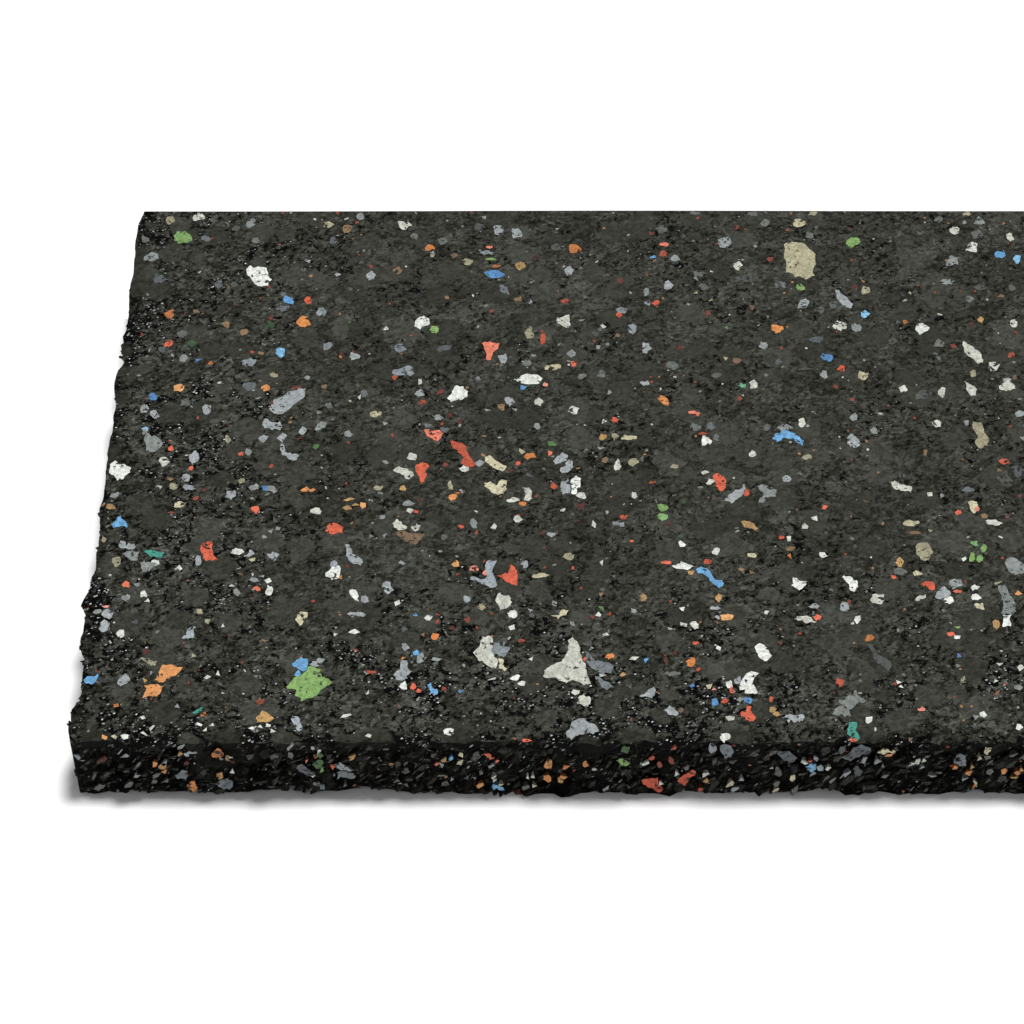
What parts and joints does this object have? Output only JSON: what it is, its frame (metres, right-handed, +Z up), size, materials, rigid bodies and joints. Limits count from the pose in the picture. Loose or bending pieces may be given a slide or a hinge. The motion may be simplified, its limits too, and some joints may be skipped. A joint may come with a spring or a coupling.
{
  "type": "rubber anti-vibration mat",
  "caption": "Flat square mat of bonded rubber crumb with coloured flecks and ragged cut sides, laid under a machine to damp vibration and stop it sliding.",
  "frame": {"origin": "centre of the face the mat lies on", "axes": "+Z up through the thickness, X and Y along the sides of the square, with the pictured corner at -X -Y"},
  "size_m": [0.6, 0.6, 0.01],
  "materials": {
    "rubber_crumb": "matt bonded black crumb with flush white, grey, red, orange, blue and green crumbs, open pores and small glossy facets"
  },
  "bodies": {
    "root": {"mat": "rubber_crumb"}
  },
  "joints": []
}
